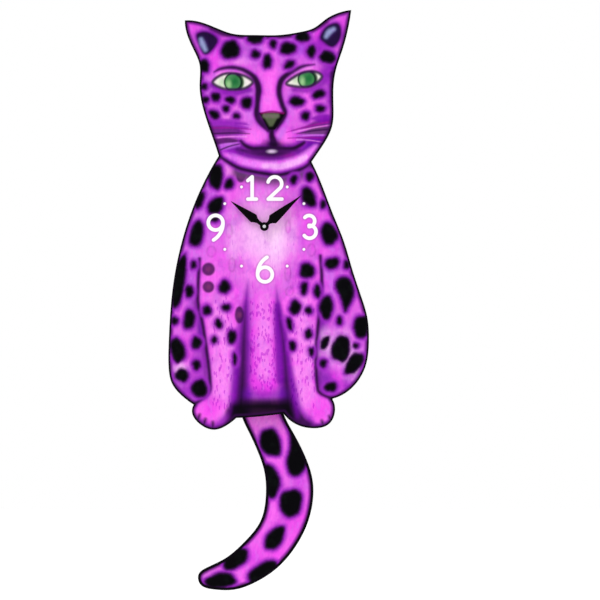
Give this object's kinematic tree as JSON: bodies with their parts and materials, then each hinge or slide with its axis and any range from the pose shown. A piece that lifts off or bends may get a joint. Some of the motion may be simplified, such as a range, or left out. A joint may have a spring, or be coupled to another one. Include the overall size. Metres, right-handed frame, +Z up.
{
  "type": "cat tail clock",
  "caption": "Flat cat-shaped wall clock with a painted leopard face, a dial with two hands on its chest, and a tail that swings as a pendulum.",
  "frame": {"origin": "centre of the round part of the hanger keyhole, at the middle of the plate", "axes": "+Z up, +Y into the wall so the dial faces -Y, +X to the viewer's right"},
  "size_m": [0.1362, 0.034, 0.3945],
  "materials": {
    "hardboard": "matte, edges stained black",
    "art_print": "satin varnished print",
    "case_plastic": "fine moulded texture",
    "knob_plastic": "satin",
    "wheel_plastic": "natural acetal, satin",
    "brass": "turned",
    "plated_steel": "zinc plated",
    "magnet_iron": "sheet iron",
    "hand_paint": "black, satin",
    "copper_wire": "enamelled copper wire",
    "circuit_board": "solder mask",
    "epoxy": "cast drop",
    "crystal_can": "plated can",
    "magnet": "sintered",
    "cell_steel": "nickel plated",
    "cell_filling": "pressed powder",
    "cell_sleeve": "shrink sleeve"
  },
  "bodies": {
    "clock": {"body_board": "hardboard", "body_print": "art_print", "movement_screws": "plated_steel", "movement_front_case": "case_plastic", "movement_rear_cover": "case_plastic", "centre_bushing": "brass", "hanger_plate": "plated_steel", "hanger_screws": "plated_steel", "train_plate": "wheel_plastic", "train_plate_screws": "plated_steel", "stator": "magnet_iron", "coil_core": "magnet_iron", "stepper_bobbin": "wheel_plastic", "stepper_winding": "copper_wire", "clock_circuit_board": "circuit_board", "clock_chip": "epoxy", "quartz_crystal": "crystal_can", "positive_contact": "plated_steel", "negative_contact": "plated_steel", "drive_bobbin": "wheel_plastic", "drive_winding": "copper_wire", "drive_circuit_board": "circuit_board", "pivot_pin": "plated_steel"},
    "minute": {"minute_arbor": "brass", "minute_hand": "hand_paint", "hand_nut": "hand_paint", "clutch_spring": "plated_steel"},
    "hour": {"hour_wheel": "wheel_plastic", "hour_hand": "hand_paint"},
    "setting": {"minute_wheel": "wheel_plastic", "setting_knob": "knob_plastic"},
    "centre": {"centre_wheel": "wheel_plastic"},
    "third": {"third_wheel": "wheel_plastic"},
    "fourth": {"fourth_wheel": "wheel_plastic"},
    "fifth": {"fifth_wheel": "wheel_plastic"},
    "rotor": {"rotor_pinion": "wheel_plastic", "rotor_magnet": "magnet"},
    "tail": {"tail_board": "hardboard", "tail_print": "art_print", "swing_arm": "case_plastic", "drive_magnet": "magnet", "tail_screws": "plated_steel"},
    "battery": {"battery_can": "cell_steel", "battery_filling": "cell_filling", "battery_cap": "cell_steel", "battery_sleeve": "cell_sleeve"}
  },
  "joints": [
    {"name": "minute_turn", "type": "hinge", "parent": "clock", "child": "minute", "pos_m": [0, -0.012, -0.034], "axis": [0, 1, 0], "continuous": true},
    {"name": "hour_turn", "type": "hinge", "parent": "clock", "child": "hour", "pos_m": [0, -0.012, -0.034], "axis": [0, 1, 0], "continuous": true},
    {"name": "setting_turn", "type": "hinge", "parent": "clock", "child": "setting", "pos_m": [-0.0096, -0.012, -0.034], "axis": [0, 1, 0], "continuous": true},
    {"name": "rotor_turn", "type": "hinge", "parent": "clock", "child": "rotor", "pos_m": [0.01481, -0.012, -0.04047], "axis": [0, 1, 0], "continuous": true},
    {"name": "fifth_turn", "type": "hinge", "parent": "clock", "child": "fifth", "pos_m": [0.013, -0.012, -0.03371], "axis": [0, 1, 0], "continuous": true},
    {"name": "fourth_turn", "type": "hinge", "parent": "clock", "child": "fourth", "pos_m": [0.013, -0.012, -0.02621], "axis": [0, 1, 0], "continuous": true},
    {"name": "third_turn", "type": "hinge", "parent": "clock", "child": "third", "pos_m": [0.0045, -0.012, -0.02621], "axis": [0, 1, 0], "continuous": true},
    {"name": "centre_turn", "type": "hinge", "parent": "clock", "child": "centre", "pos_m": [0, -0.012, -0.034], "axis": [0, 1, 0], "continuous": true},
    {"name": "tail_swing", "type": "hinge", "parent": "clock", "child": "tail", "pos_m": [0, -0.012, -0.078], "axis": [0, 1, 0], "range_deg": [-8, 8]},
    {"name": "battery_pull", "type": "slide", "parent": "clock", "child": "battery", "axis": [0, 1, 0], "range_m": [0, 0.02]}
  ],
  "couplings": [
    {"joint": "hour_turn", "follows": "minute_turn", "ratio": 0.083333},
    {"joint": "setting_turn", "follows": "minute_turn", "ratio": -0.33333},
    {"joint": "fifth_turn", "follows": "fourth_turn", "ratio": -5},
    {"joint": "rotor_turn", "follows": "fourth_turn", "ratio": 30},
    {"joint": "third_turn", "follows": "fourth_turn", "ratio": -0.13333},
    {"joint": "centre_turn", "follows": "fourth_turn", "ratio": 0.016667}
  ]
}
